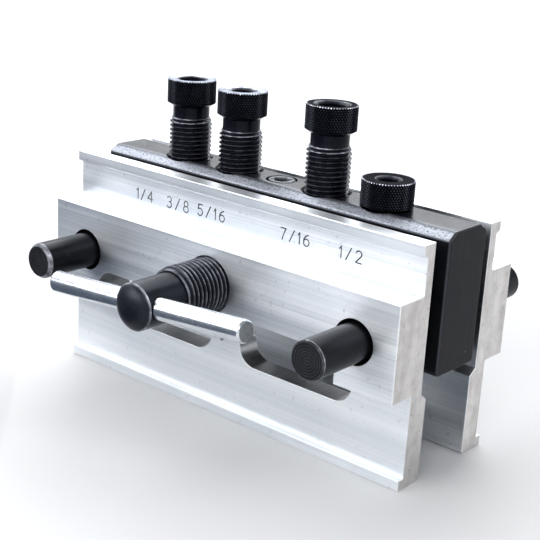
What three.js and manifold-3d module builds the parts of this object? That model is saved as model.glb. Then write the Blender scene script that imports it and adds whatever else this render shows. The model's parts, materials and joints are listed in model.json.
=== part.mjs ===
// Self-centring doweling jig. Millimetres, +Z up.
// X runs along the jaws, -Y is the handle side, and the origin is the centre of the drill block's underside.
import * as THREE from 'three';
import { mergeVertices } from 'three/addons/utils/BufferGeometryUtils.js';
import Module from 'manifold-3d';

const wasm = await Module();
wasm.setup();

// Common
const GAP = 0.3;            // free space between neighbouring pieces
const ROUND = 32;           // sides of a turned piece
const OVERCUT = 2;          // how far a cutting tool runs past a face

// Drill block: black steel bar
const BLOCK_L = 143;
const BLOCK_W = 20;
const BLOCK_H = 44.5;
const BLOCK_TOP_CHAMFER_Y = 3.6;
const BLOCK_TOP_CHAMFER_Z = 2.2;
const BLOCK_LOW_CHAMFER = 1;
const BLOCK_END_CHAMFER = 0.6;

// Jaws: two lengths of one aluminium extrusion, turned back to back
const JAW_L = 146;
const JAW_X = -3;           // middle of the jaws along X
const JAW_Y = 15;           // inner face of the upper web, from the middle of the block
const FOOT_Z = -33.2;
const JAW_H = 76;
const LIP_T = 5.6;
const LIP_H = 3.3;
const LIP_UNDERCUT = 0.7;   // slope on the underside of the lip
const WEB_T = 3.7;
const LEDGE_Z = 60.4 + FOOT_Z;
const LEDGE_FILLET = 0.8;
const BOSS_T = 15.2;
const BOSS_BOTTOM_Z = 30 + FOOT_Z;
const LOWER_WEB_T = 5.6;
const FOOT_T = 8;
const FOOT_H = 3.5;
const PAD_STEP = 2.8;       // how far the clamping pad stands in from the upper web
const PAD_TOP_Z = 27 + FOOT_Z;
const PAD_SLOPE_Z = 29 + FOOT_Z;
const PAD_CHAMFER = 1;

// Sight windows, two in each jaw
const WINDOW_INNER_X = 6.4;
const WINDOW_OUTER_X = 51.6;
const WINDOW_LOW_Z = 20 + FOOT_Z;
const WINDOW_TOP_Z = 39.5 + FOOT_Z;
const WINDOW_R = 6.35;
const WINDOW_ARC_STEPS = 6;

// Guide pins, pressed in the block and free in the jaws
const PIN_X = 57.7;         // from the middle of the jaws
const PIN_Z = 11.9;
const PIN_R = 6;
const PIN_FRONT_Y = -51.2;
const PIN_REAR_Y = 55;
const PIN_CHAMFER = 0.7;
const PIN_HOLE_R = 7;
const HOLE_CHAMFER = 0.7;

// Lead screw: coarse thread in the front jaw, fine-bodied opposite thread in the rear jaw
const SCREW_Z = 14.3;
const SCREW_FRONT_R = 9;
const SCREW_NECK_R = 7.5;
const SCREW_JOURNAL_R = 6;
const SCREW_GROOVE_R = 4;
const SCREW_GROOVE_W = 6;
const SCREW_REAR_R = 6;
const SCREW_DOME_Y = -64.8;
const SCREW_RIM_Y = -62;
const SCREW_THREAD_Y = -46.8;
const SCREW_SHOULDER_Y = -10.6;
const SCREW_END_Y = 48;
const SCREW_CHAMFER = 0.6;
const DOME_STEPS = 6;

// Tommy bar pressed through the neck of the lead screw
const BAR_Y = -58;
const BAR_R = 3.5;
const BAR_LEFT = 39.7;
const BAR_RIGHT = 41.2;
const BAR_CHAMFER = 0.5;
const BAR_TILT_DEG = 4.3;

// Set screw whose dog point runs in the lead screw's groove
const SET_R = 5;
const SET_TOP_Z = BLOCK_H;
const SET_BODY_Z = 24;
const SET_DOG_R = 2.5;
const SET_DOG_Z = 18.6;
const SET_SOCKET_R = 2.9;
const SET_SOCKET_DEPTH = 5;
const SET_CHAMFER = 0.6;
const SET_HOLE_LOW_Z = 16;

// Drill bushings, screwed down into the block
const BUSH_HEAD_R = 8.25;
const BUSH_HEAD_H = 8;
const BUSH_HEAD_CHAMFER = 0.7;
const BUSH_CONE_H = 1.2;    // cone between the head and the neck
const BUSH_NECK_R = 6.2;
const BUSH_THREAD_DROP = 5; // from the head's lower edge to the first thread
const BUSH_THREAD_R = 7.2;
const BUSH_LENGTH = 25.6;   // under the head
const BUSH_END_CHAMFER = 0.8;
const BUSHINGS = [
  { x: -41.7, lift: 18.8, boreR: 4.8, mouthR: 5.3 },
  { x: -18.5, lift: 18.4, boreR: 4.0, mouthR: 4.75 },
  { x: 18.5, lift: 19.8, boreR: 4.8, mouthR: 5.75 },
  { x: 41.7, lift: 0.6, boreR: 3.2, mouthR: 4.05 },
];
const SOCKET_FLOOR_Z = 19;  // depth of the block's tapped bushing holes
const DRILL_HOLE_R = 5.5;
const MOUTH_CHAMFER = 0.7;

const ALUMINIUM = { color: 0xc9cdd0, roughness: 0.38, metalness: 0.9 };
const BLACK_STEEL = { color: 0x23222a, roughness: 0.45, metalness: 0.7 };
const BRIGHT_STEEL = { color: 0xd5d9dc, roughness: 0.18, metalness: 1.0 };

function signedVolume(position, triangles) {
  let six = 0;
  const a = new THREE.Vector3();
  const b = new THREE.Vector3();
  const c = new THREE.Vector3();
  for (let i = 0; i < triangles.length; i += 3) {
    a.fromBufferAttribute(position, triangles[i]);
    b.fromBufferAttribute(position, triangles[i + 1]);
    c.fromBufferAttribute(position, triangles[i + 2]);
    six += a.dot(b.cross(c));
  }
  return six;
}

// Closed solid from a geometry whose faces share edges once equal vertices are merged.
function solid(geometry) {
  const bare = geometry.clone();
  bare.deleteAttribute('normal');
  bare.deleteAttribute('uv');
  const merged = mergeVertices(bare, 1e-4);
  const index = merged.index.array;
  const triangles = [];
  for (let i = 0; i < index.length; i += 3) {
    const [a, b, c] = [index[i], index[i + 1], index[i + 2]];
    if (a !== b && b !== c && c !== a) triangles.push(a, b, c);
  }
  if (signedVolume(merged.attributes.position, triangles) < 0) triangles.reverse();
  return new wasm.Manifold(new wasm.Mesh({
    numProp: 3,
    vertProperties: new Float32Array(merged.attributes.position.array),
    triVerts: new Uint32Array(triangles),
  }));
}

function piece(name, manifold, look) {
  const mesh = manifold.getMesh();
  const geometry = new THREE.BufferGeometry();
  geometry.setAttribute('position', new THREE.BufferAttribute(new Float32Array(mesh.vertProperties), 3));
  geometry.setIndex(new THREE.BufferAttribute(new Uint32Array(mesh.triVerts), 1));
  geometry.computeVertexNormals();
  const material = new THREE.MeshStandardMaterial({ ...look, flatShading: true });
  const result = new THREE.Mesh(geometry, material);
  result.name = name;
  return result;
}

// Prism along X from a closed outline of [y, z] points, centred on x.
function prismX(outline, length, x) {
  const shape = new THREE.Shape(outline.map(([y, z]) => new THREE.Vector2(y, z)));
  const geometry = new THREE.ExtrudeGeometry(shape, { depth: length, bevelEnabled: false });
  geometry.rotateZ(Math.PI / 2);
  geometry.rotateY(Math.PI / 2);
  geometry.translate(x - length / 2, 0, 0);
  return solid(geometry);
}

// Turned solid from [radius, height] points that start and end on the axis.
function turned(profile, sides = ROUND) {
  const points = profile.map(([r, h]) => new THREE.Vector2(r, h));
  return new THREE.LatheGeometry(points, sides);
}

function turnedY(profile, x, z) {
  return solid(turned(profile).translate(x, 0, z));
}

function turnedZ(profile, x, y = 0) {
  return solid(turned(profile).rotateX(Math.PI / 2).translate(x, y, 0));
}

function rod(r, from, to, chamfer = 0) {
  return [[0, from], [r - chamfer, from], [r, from + chamfer], [r, to - chamfer], [r - chamfer, to], [0, to]];
}

function plainRod(r, from, to) {
  return [[0, from], [r, from], [r, to], [0, to]];
}

// Countersink for a hole mouth at height h; grows towards direction dir.
function mouth(r, chamfer, h, dir) {
  const wide = r + chamfer + OVERCUT;
  return [[0, h - dir * chamfer], [r, h - dir * chamfer], [wide, h + dir * OVERCUT], [0, h + dir * OVERCUT]];
}

function jawOutline() {
  const top = FOOT_Z + JAW_H;
  const lipLow = top - LIP_H;
  const web = JAW_Y + WEB_T;
  const low = JAW_Y + LOWER_WEB_T;
  const pad = JAW_Y - PAD_STEP;
  return [
    [JAW_Y, top],
    [JAW_Y + LIP_T, top],
    [JAW_Y + LIP_T, lipLow],
    [web, lipLow - LIP_UNDERCUT],
    [web, LEDGE_Z + LEDGE_FILLET],
    [web + LEDGE_FILLET * 0.3, LEDGE_Z + LEDGE_FILLET * 0.3],
    [web + LEDGE_FILLET, LEDGE_Z],
    [JAW_Y + BOSS_T, LEDGE_Z],
    [JAW_Y + BOSS_T, BOSS_BOTTOM_Z],
    [low, BOSS_BOTTOM_Z],
    [low, FOOT_Z + FOOT_H],
    [JAW_Y + FOOT_T, FOOT_Z + FOOT_H],
    [JAW_Y + FOOT_T, FOOT_Z],
    [pad + PAD_CHAMFER, FOOT_Z],
    [pad, FOOT_Z + PAD_CHAMFER],
    [pad, PAD_TOP_Z],
    [JAW_Y, PAD_SLOPE_Z],
  ];
}

function windowCut(side) {
  const near = JAW_X + side * WINDOW_INNER_X;
  const far = JAW_X + side * WINDOW_OUTER_X;
  const x0 = Math.min(near, far) + WINDOW_R;
  const x1 = Math.max(near, far) - WINDOW_R;
  const z0 = WINDOW_LOW_Z + WINDOW_R;
  const z1 = WINDOW_TOP_Z - WINDOW_R;
  const shape = new THREE.Shape();
  shape.absarc(x0, z0, WINDOW_R, Math.PI, 1.5 * Math.PI);
  shape.absarc(x1, z0, WINDOW_R, 1.5 * Math.PI, 2 * Math.PI);
  shape.absarc(x1, z1, WINDOW_R, 0, 0.5 * Math.PI);
  shape.absarc(x0, z1, WINDOW_R, 0.5 * Math.PI, Math.PI);
  const depth = BOSS_T + PAD_STEP + 2 * OVERCUT;
  const options = { depth, bevelEnabled: false, curveSegments: WINDOW_ARC_STEPS };
  const geometry = new THREE.ExtrudeGeometry(shape, options);
  geometry.rotateX(Math.PI / 2);
  geometry.translate(0, JAW_Y + BOSS_T + OVERCUT, 0);
  return solid(geometry);
}

// Jaw on the +Y side with a screw bore of the given radius.
function jawBlank(screwBoreR) {
  const outer = JAW_Y + BOSS_T;
  const inner = JAW_Y - PAD_STEP;
  let jaw = prismX(jawOutline(), JAW_L, JAW_X);
  for (const side of [-1, 1]) {
    const x = JAW_X + side * PIN_X;
    jaw = jaw.subtract(turnedY(plainRod(PIN_HOLE_R, inner - OVERCUT, outer + OVERCUT), x, PIN_Z));
    jaw = jaw.subtract(turnedY(mouth(PIN_HOLE_R, HOLE_CHAMFER, outer, 1), x, PIN_Z));
    jaw = jaw.subtract(windowCut(side));
  }
  jaw = jaw.subtract(turnedY(plainRod(screwBoreR, inner - OVERCUT, outer + OVERCUT), JAW_X, SCREW_Z));
  return jaw;
}

function frontJaw() {
  return jawBlank(SCREW_FRONT_R + GAP).mirror([0, 1, 0]);
}

function rearJaw() {
  return jawBlank(SCREW_REAR_R + GAP);
}

function blockBar() {
  const half = BLOCK_W / 2;
  const outline = [
    [-half + BLOCK_LOW_CHAMFER, 0],
    [half - BLOCK_LOW_CHAMFER, 0],
    [half, BLOCK_LOW_CHAMFER],
    [half, BLOCK_H - BLOCK_TOP_CHAMFER_Z],
    [half - BLOCK_TOP_CHAMFER_Y, BLOCK_H],
    [-half + BLOCK_TOP_CHAMFER_Y, BLOCK_H],
    [-half, BLOCK_H - BLOCK_TOP_CHAMFER_Z],
    [-half, BLOCK_LOW_CHAMFER],
  ];
  const shape = new THREE.Shape(outline.map(([y, z]) => new THREE.Vector2(y, z)));
  const depth = BLOCK_L - 2 * BLOCK_END_CHAMFER;
  const geometry = new THREE.ExtrudeGeometry(shape, {
    depth,
    bevelEnabled: true,
    bevelThickness: BLOCK_END_CHAMFER,
    bevelSize: BLOCK_END_CHAMFER,
    bevelOffset: -BLOCK_END_CHAMFER,
    bevelSegments: 1,
  });
  geometry.rotateZ(Math.PI / 2);
  geometry.rotateY(Math.PI / 2);
  geometry.translate(-depth / 2, 0, 0);
  return solid(geometry);
}

function drillBlock() {
  const half = BLOCK_W / 2;
  let block = blockBar();
  for (const { x } of BUSHINGS) {
    const holeR = BUSH_THREAD_R + GAP;
    block = block.subtract(turnedZ(plainRod(holeR, SOCKET_FLOOR_Z, BLOCK_H + OVERCUT), x));
    block = block.subtract(turnedZ(mouth(holeR, MOUTH_CHAMFER, BLOCK_H, 1), x));
    block = block.subtract(turnedZ(plainRod(DRILL_HOLE_R, -OVERCUT, SOCKET_FLOOR_Z + OVERCUT), x));
  }
  for (const side of [-1, 1]) {
    const bore = plainRod(PIN_R + GAP, -half - OVERCUT, half + OVERCUT);
    block = block.subtract(turnedY(bore, JAW_X + side * PIN_X, PIN_Z));
  }
  const journal = plainRod(SCREW_JOURNAL_R + GAP, -half - OVERCUT, half + OVERCUT);
  block = block.subtract(turnedY(journal, JAW_X, SCREW_Z));
  block = block.subtract(turnedZ(plainRod(SET_R + GAP, SET_BODY_Z - GAP, BLOCK_H + OVERCUT), 0));
  block = block.subtract(turnedZ(plainRod(SET_DOG_R + GAP, SET_HOLE_LOW_Z, SET_BODY_Z), 0));
  return block;
}

function guidePin(side) {
  return turnedY(rod(PIN_R, PIN_FRONT_Y, PIN_REAR_Y, PIN_CHAMFER), JAW_X + side * PIN_X, PIN_Z);
}

function leadScrew() {
  const profile = [[0, SCREW_DOME_Y]];
  const rise = SCREW_RIM_Y - SCREW_DOME_Y;
  for (let i = 1; i <= DOME_STEPS; i += 1) {
    const angle = (i / DOME_STEPS) * (Math.PI / 2);
    profile.push([SCREW_NECK_R * Math.sin(angle), SCREW_RIM_Y - rise * Math.cos(angle)]);
  }
  const groove = SCREW_GROOVE_W / 2;
  profile.push(
    [SCREW_NECK_R, SCREW_THREAD_Y],
    [SCREW_FRONT_R - SCREW_CHAMFER, SCREW_THREAD_Y],
    [SCREW_FRONT_R, SCREW_THREAD_Y + SCREW_CHAMFER],
    [SCREW_FRONT_R, SCREW_SHOULDER_Y],
    [SCREW_JOURNAL_R, SCREW_SHOULDER_Y],
    [SCREW_JOURNAL_R, -groove],
    [SCREW_GROOVE_R, -groove],
    [SCREW_GROOVE_R, groove],
    [SCREW_REAR_R, groove],
    [SCREW_REAR_R, SCREW_END_Y - SCREW_CHAMFER],
    [SCREW_REAR_R - SCREW_CHAMFER, SCREW_END_Y],
    [0, SCREW_END_Y],
  );
  const crossHole = barSolid(BAR_R + GAP, SCREW_NECK_R + OVERCUT, SCREW_NECK_R + OVERCUT, 0);
  return turnedY(profile, JAW_X, SCREW_Z).subtract(crossHole);
}

function barSolid(r, left, right, chamfer) {
  const profile = chamfer > 0 ? rod(r, -left, right, chamfer) : plainRod(r, -left, right);
  const geometry = turned(profile, ROUND / 2);
  geometry.rotateZ(-Math.PI / 2);
  geometry.rotateY(-THREE.MathUtils.degToRad(BAR_TILT_DEG));
  geometry.translate(JAW_X, BAR_Y, SCREW_Z);
  return solid(geometry);
}

function setScrew() {
  const profile = [
    [0, SET_DOG_Z],
    [SET_DOG_R, SET_DOG_Z],
    [SET_DOG_R, SET_BODY_Z],
    [SET_R - SET_CHAMFER, SET_BODY_Z],
    [SET_R, SET_BODY_Z + SET_CHAMFER],
    [SET_R, SET_TOP_Z - SET_CHAMFER],
    [SET_R - SET_CHAMFER, SET_TOP_Z],
    [0, SET_TOP_Z],
  ];
  const socket = turned(plainRod(SET_SOCKET_R, SET_TOP_Z - SET_SOCKET_DEPTH, SET_TOP_Z + OVERCUT), 6);
  return turnedZ(profile, 0).subtract(solid(socket.rotateX(Math.PI / 2)));
}

function drillBushing({ x, lift, boreR, mouthR }) {
  const seat = BLOCK_H + lift;
  const top = seat + BUSH_HEAD_H;
  const bottom = seat - BUSH_LENGTH;
  const profile = [
    [0, bottom],
    [BUSH_THREAD_R - BUSH_END_CHAMFER, bottom],
    [BUSH_THREAD_R, bottom + BUSH_END_CHAMFER],
    [BUSH_THREAD_R, seat - BUSH_THREAD_DROP],
    [BUSH_NECK_R, seat - BUSH_THREAD_DROP],
    [BUSH_NECK_R, seat - BUSH_CONE_H],
    [BUSH_HEAD_R, seat],
    [BUSH_HEAD_R, top - BUSH_HEAD_CHAMFER],
    [BUSH_HEAD_R - BUSH_HEAD_CHAMFER, top],
    [0, top],
  ];
  const bore = turnedZ(plainRod(boreR, bottom - OVERCUT, top + OVERCUT), x);
  const lead = turnedZ(mouth(boreR, mouthR - boreR, top, 1), x);
  return turnedZ(profile, x).subtract(bore).subtract(lead);
}

const group = new THREE.Group();
group.name = 'doweling_jig';
group.add(piece('drill_block', drillBlock(), BLACK_STEEL));
group.add(piece('front_jaw', frontJaw(), ALUMINIUM));
group.add(piece('rear_jaw', rearJaw(), ALUMINIUM));
group.add(piece('guide_pin_left', guidePin(-1), BLACK_STEEL));
group.add(piece('guide_pin_right', guidePin(1), BLACK_STEEL));
group.add(piece('lead_screw', leadScrew(), BLACK_STEEL));
group.add(piece('tommy_bar', barSolid(BAR_R, BAR_LEFT, BAR_RIGHT, BAR_CHAMFER), BRIGHT_STEEL));
group.add(piece('retaining_set_screw', setScrew(), BLACK_STEEL));
BUSHINGS.forEach((spec, i) => {
  group.add(piece(`drill_bushing_${i + 1}`, drillBushing(spec), BLACK_STEEL));
});

export default group;
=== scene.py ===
import json
import math

import bmesh
import bpy
from mathutils import Matrix, Vector

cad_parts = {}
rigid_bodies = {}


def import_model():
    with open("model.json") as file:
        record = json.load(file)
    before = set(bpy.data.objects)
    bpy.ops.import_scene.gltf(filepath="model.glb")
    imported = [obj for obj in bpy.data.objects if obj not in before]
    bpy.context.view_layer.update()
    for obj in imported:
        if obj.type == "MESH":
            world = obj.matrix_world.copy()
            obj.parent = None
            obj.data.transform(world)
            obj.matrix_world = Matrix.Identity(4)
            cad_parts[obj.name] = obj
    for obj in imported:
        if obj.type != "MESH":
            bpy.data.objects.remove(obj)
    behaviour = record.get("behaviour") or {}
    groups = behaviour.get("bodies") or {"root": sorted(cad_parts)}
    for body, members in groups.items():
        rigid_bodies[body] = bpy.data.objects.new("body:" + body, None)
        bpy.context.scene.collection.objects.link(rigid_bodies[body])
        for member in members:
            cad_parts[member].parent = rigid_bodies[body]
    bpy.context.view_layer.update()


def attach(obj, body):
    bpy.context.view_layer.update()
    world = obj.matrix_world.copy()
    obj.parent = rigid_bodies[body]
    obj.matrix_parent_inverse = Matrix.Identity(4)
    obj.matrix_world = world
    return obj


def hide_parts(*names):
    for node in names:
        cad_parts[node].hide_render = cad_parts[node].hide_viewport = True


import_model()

# Lengths below are millimetres in the frame of the model: X along the jaws, -Y the handle side, Z up.
MM = 0.001
TURN = 2 * math.pi

# Camera: place, and directions of its right, up and back, in the frame of the model
CAMERA_PLACE = (241.5835, -294.1432, 138.1123)
CAMERA_RIGHT = (0.7567689, 0.6515051, 0.0533099)
CAMERA_UP = (-0.2419810, 0.2034488, 0.9487117)
CAMERA_BACK = (0.6072446, -0.7308555, 0.3116156)
CAMERA_LENS = 80.1346
CAMERA_SENSOR = 36

# Drill block
BLOCK_L = 143
BLOCK_W = 20
BLOCK_H = 44.5
BLOCK_TOP_CHAMFER_Y = 3.6
BLOCK_TOP_CHAMFER_Z = 2.2
BLOCK_LOW_CHAMFER = 1

# Jaws
JAW_L = 146
JAW_X = -3
JAW_Y = 15
FOOT_Z = -33.2
JAW_TOP_Z = 42.8
LIP_T = 5.6
LIP_LOW_Z = 39.5
LIP_UNDERCUT = 0.7
WEB_T = 3.7
LEDGE_Z = 27.2
LEDGE_FILLET = 0.8
BOSS_T = 15.2
BOSS_LOW_Z = -3.2
LOWER_WEB_T = 5.6
FOOT_T = 8
FOOT_H = 3.5
PAD_STEP = 2.8
PAD_TOP_Z = -6.2
PAD_SLOPE_Z = -4.2
PAD_CHAMFER = 1
# Windows: ends of each along X, from the middle of the jaw
WINDOW_INNER_X = 6.4
WINDOW_OUTER_X = 51.6
WINDOW_LOW_Z = -13.2
WINDOW_TOP_Z = 6.3
WINDOW_R = 6.35

# Guide pins
PIN_X = 57.7
PIN_Z = 11.9
PIN_R = 6
PIN_FRONT_Y = -51.2
PIN_REAR_Y = 55
PIN_HOLE_R = 7

# Lead screw: places along Y, from the domed front end to the rear end
SCREW_Z = 14.3
SCREW_DOME_Y = -64.8
SCREW_RIM_Y = -62
SCREW_SHOULDER_Y = -46.8
SCREW_FRONT_END_Y = -10.6
SCREW_REAR_START_Y = 11.6
SCREW_REAR_END_Y = 48
SCREW_NECK_R = 7.5
SCREW_FRONT_R = 9
SCREW_FRONT_ROOT_R = 7.95
SCREW_REAR_R = 6
SCREW_REAR_ROOT_R = 5
SCREW_PITCH = 1.75
SCREW_PLAY = 0.3
SCREW_DOME_ANGLE = math.radians(66)
SCREW_GROOVE_R = 4
SCREW_GROOVE_HALF = 3

# Tommy bar
BAR_Y = -58
BAR_R = 3.5
BAR_LEFT = 39.7
BAR_RIGHT = 41.2
BAR_EDGE = 0.5
BAR_TILT = math.radians(4.3)

# Drill bushings: (x, lift of the head, bore radius, mouth radius, wear of the top)
BUSHINGS = [
    (-41.7, 18.8, 4.8, 5.3, 1.3),
    (-18.5, 18.4, 4.0, 4.75, 1.1),
    (18.5, 19.8, 4.8, 5.75, 0.2),
    (41.7, 0.6, 3.2, 4.05, 0.15),
]
BUSH_HEAD_R = 8.25
BUSH_HEAD_H = 8
BUSH_CONE_H = 1.2
BUSH_NECK_R = 6.2
BUSH_THREAD_DROP = 5
BUSH_THREAD_R = 7.2
BUSH_ROOT_R = 6.4
BUSH_LENGTH = 25.6
BUSH_PITCH = 1.5
BUSH_RIM_H = 0.28
KNURL_COUNT = 56
KNURL_ROWS = 5
KNURL_DEPTH = 0.36
KNURL_FLAT = 0.26
KNURL_LEAN = 0.3
KNURL_TIP_WEAR = 0.27

# Holes that the bushings screw into, and the drill holes below them
TAPPED_HOLE_R = 7.5
TAPPED_HOLE_MOUTH = 0.7
DRILL_HOLE_R = 5.5
DRILL_HOLE_H = 19

# Retaining set screw and its hole
SET_R = 5
SET_EDGE = 0.7
SET_SEAT_Z = 24
SET_LOW_Z = 18.6
SET_DOG_R = 2.5
SET_DOG_EDGE = 0.2
SET_SOCKET_APOTHEM = 2.5
SET_SOCKET_DEPTH = 5
SET_HOLE_R = 5.15
SET_HOLE_MOUTH = 0.1
SET_HOLE_SEAT_Z = 23.7
SET_HOLE_LOW_Z = 16
DOG_HOLE_R = 2.8

# Engraved sizes under the lip of the front jaw: (text, x, z, width)
LABELS = [
    ("1/4", -44.3, 32.9, 7.9),
    ("3/8", -28.6, 33.0, 10.1),
    ("5/16", -13.4, 33.4, 12.0),
    ("7/16", 21.8, 33.6, 11.5),
    ("1/2", 43.2, 33.2, 8.4),
]
DIGIT_H = 3.7
STROKE_HALF_W = 0.21
STROKE_DEPTH = 0.26
STROKE_TIP_HALF_W = 0.05

# How far a cutter reaches past the metal, and a window's cutter from the middle plane
REACH = 2
WINDOW_REACH = 40


# ---------------------------------------------------------------- meshes

class Turning:
    """A surface grown ring by ring round the h axis. Points are (radius, angle, h). Each has a wear, which is
    how far the metal is rubbed bare, and at the cut ends of a thread also a painted glint, and an end, which
    is 1 on a faced end."""

    def __init__(self, sides=96):
        self.sides = sides
        self.points = []
        self.wear = []
        self.end = []
        self.faces = []
        self.first = None
        self.last = None

    def point(self, r, angle, h, wear=0.0, end=0.0):
        self.points.append((r, angle, h))
        self.wear.append(wear)
        self.end.append(end)
        return len(self.points) - 1

    def join(self, ring):
        if self.last is None:
            self.first = ring
        else:
            self.stitch(self.last, ring)
        self.last = ring

    def stitch(self, a, b):
        """Joins two rings, or a ring and a tip, with faces."""
        count_a, count_b = len(a), len(b)
        if count_a == 1 or count_b == 1:
            ring, tip = (b, a[0]) if count_a == 1 else (a, b[0])
            for i in range(len(ring)):
                self.faces.append((ring[i], ring[(i + 1) % len(ring)], tip))
            return
        if count_a == count_b:
            for i in range(count_a):
                k = (i + 1) % count_a
                self.faces.append((a[i], a[k], b[k], b[i]))
            return

        def angle(ring, i):
            return self.points[ring[i % len(ring)]][1] + TURN * (i // len(ring))

        i = j = 0
        while i < count_a or j < count_b:
            if j == count_b or (i < count_a and angle(a, i + 1) <= angle(b, j + 1)):
                self.faces.append((a[i % count_a], a[(i + 1) % count_a], b[j % count_b]))
                i += 1
            else:
                self.faces.append((a[i % count_a], b[(j + 1) % count_b], b[j % count_b]))
                j += 1

    def ring(self, r, h, wear=0.0, angles=None, end=0.0):
        """r is a number, a function of the angle, or one for each angle. wear is a number or one for each."""
        if angles is None:
            angles = [TURN * i / self.sides for i in range(self.sides)]
        if callable(r):
            r = [r(a) for a in angles]
        elif not isinstance(r, list):
            r = [r] * len(angles)
        if not isinstance(wear, list):
            wear = [wear] * len(angles)
        self.join([self.point(ri, a, h, w, end) for ri, a, w in zip(r, angles, wear)])

    def tip(self, h, wear=0.0, end=0.0):
        self.join([self.point(0, 0, h, wear, end)])

    def close(self):
        self.stitch(self.last, self.first)

    def thread(self, h0, h1, pitch, crest, root, limit, hand=1, crest_wear=0.5, cut_wear_and_glint=0.85):
        """Helical thread from h0 to h1. limit(h) is the largest radius allowed at h. Where the limit cuts the
        thread
        down, the points take the given cut wear: bare metal that also stands as a painted glint on the cut
        end.
        Phases and heights follow the profile from one crest to the next, as parts of the pitch and of the
        thread's height."""
        flat, foot, rise = 0.07, 0.37, 0.06
        slope = (flat + foot) / 2
        phases = (-flat, flat, slope, foot, 0.5, 1 - foot, 1 - slope)
        heights = (1.0, 1.0, 0.5, rise, 0.0, rise, 0.5)
        k, n = len(phases), self.sides
        turns = math.ceil((h1 - h0) / pitch) + 4
        start = h0 - 2 * pitch
        snap = 0.03 * pitch

        def height(phase):
            away = abs((phase + 0.5) % 1 - 0.5)
            if away <= flat:
                return 1.0
            if away >= foot:
                return rise * (0.5 - away) / (0.5 - foot)
            return 1 - (1 - rise) * (away - flat) / (foot - flat)

        table = {}

        def vertex(i, j):
            raw = start + (j // k + phases[j % k] + hand * i / n) * pitch
            if raw < h0 + snap:
                key, h = (i, "low"), h0
            elif raw > h1 - snap:
                key, h = (i, "high"), h1
            else:
                key, h = (i, j), raw
            if key not in table:
                if h == raw:
                    up = heights[j % k]
                else:
                    up = height((h - start) / pitch - hand * i / n)
                r = root + (crest - root) * up
                cut = min(r, limit(h))
                # Where the limit cuts the thread down, the wear is set high: bare metal that also stands as a
                # painted glint on the cut end.
                wear = up * crest_wear if cut == r else cut_wear_and_glint
                table[key] = self.point(cut, TURN * i / n, h, wear)
            return table[key]

        self.join([vertex(i, 0) for i in range(n)])
        rows = turns * k
        for j in range(rows):
            for i in range(n):
                over = hand * k if i == n - 1 else 0
                a, b = j + over, j + 1 + over
                if a < 0 or b > rows:
                    continue
                quad = [vertex(i, j), vertex((i + 1) % n, a), vertex((i + 1) % n, b), vertex(i, j + 1)]
                face = list(dict.fromkeys(quad))
                if len(face) > 2:
                    self.faces.append(tuple(face))
        self.last = [vertex(i, rows) for i in range(n)]

    def knurl(self, h0, h1, outer, depth, count, rows, flat, lean, tip_wear):
        """Diamond knurl from h0 to h1. rows is the number of whole diamonds, flat the width of their tops,
        and lean lifts the tops at the lower edge. Returns the angles and radii of its upper edge."""
        inner = outer - depth
        step = (h1 - h0) / (2 * rows)
        corners, tops = {}, {}
        last = 2 * rows
        for s in range(last + 1):
            half = 0.5 if s % 2 else 0.0
            h = h0 + s * step
            for c in range(count):
                corners[s, c] = self.point(inner, TURN * (c + half) / count, h)
            for c in range(count):
                u = c + half + 0.5
                middle = h + lean * depth if s == 0 else h
                left = self.point(outer, TURN * (u - flat / 2) / count, middle, tip_wear)
                right = self.point(outer, TURN * (u + flat / 2) / count, middle, tip_wear)
                up = down = None
                if s < last:
                    up = self.point(outer, TURN * u / count, h + flat * step, tip_wear)
                if s > 0:
                    down = self.point(outer, TURN * u / count, h - flat * step, tip_wear)
                tops[s, c] = (left, right, up, down)
        for s in range(last + 1):
            odd = s % 2
            for c in range(count):
                left, right, up, down = tops[s, c]
                left_corner, right_corner = corners[s, c], corners[s, (c + 1) % count]
                beside = (c + odd) % count
                if up is not None:
                    upper_corner = corners[s + 1, beside]
                    self.faces.append((left_corner, left, up, upper_corner))
                    self.faces.append((right_corner, upper_corner, up, right))
                if down is not None:
                    lower_corner = corners[s - 1, beside]
                    self.faces.append((left_corner, lower_corner, down, left))
                    self.faces.append((right_corner, right, down, lower_corner))
                self.faces.append(tuple(v for v in (left, down, right, up) if v is not None))

        def edge(s):
            ring = []
            for c in range(count):
                ring += [corners[s, c], tops[s, c][0], tops[s, c][1]]
            return ring

        self.join(edge(0))
        self.last = edge(last)
        return [self.points[v][1] for v in self.last], [self.points[v][0] for v in self.last]

    def mesh(self, name, place, sharp=30):
        """place turns a point (a, b, h), with h along the axis, into the frame of the model."""
        places = [place @ Vector((r * math.cos(a), r * math.sin(a), h)) for r, a, h in self.points]
        mesh = make_mesh(name, places, self.faces, sharp)
        values = {"wear": self.wear, "end": self.end, "radius": [r * MM for r, a, h in self.points]}
        for key, numbers in values.items():
            mesh.attributes.new(key, "FLOAT", "POINT").data.foreach_set("value", numbers)
        return mesh


def rod(low, high, tip_wear, profile):
    """A turned rod, the same at both ends. profile has (radius, distance from the end, wear, end)."""
    t = Turning()
    t.tip(low, tip_wear, 1.0)
    for r, h, wear, end in profile:
        t.ring(r, low + h, wear, end=end)
    for r, h, wear, end in reversed(profile):
        t.ring(r, high - h, wear, end=end)
    t.tip(high, tip_wear, 1.0)
    return t


def upright(x):
    """Local h runs along +Z."""
    return Matrix.Translation((x, 0, 0))


def along_y(x, z):
    """Local h runs along +Y."""
    return Matrix.Translation((x, 0, z)) @ Matrix(((1, 0, 0, 0), (0, 0, 1, 0), (0, -1, 0, 0), (0, 0, 0, 1)))


# Local h runs along the tommy bar, to the right
ALONG_BAR = Matrix.Translation((JAW_X, BAR_Y, SCREW_Z)) @ Matrix.Rotation(math.pi / 2 - BAR_TILT, 4, "Y")


def smooth(mesh, sharp=30):
    mesh.shade_smooth()
    mesh.set_sharp_from_angle(angle=math.radians(sharp))


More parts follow.
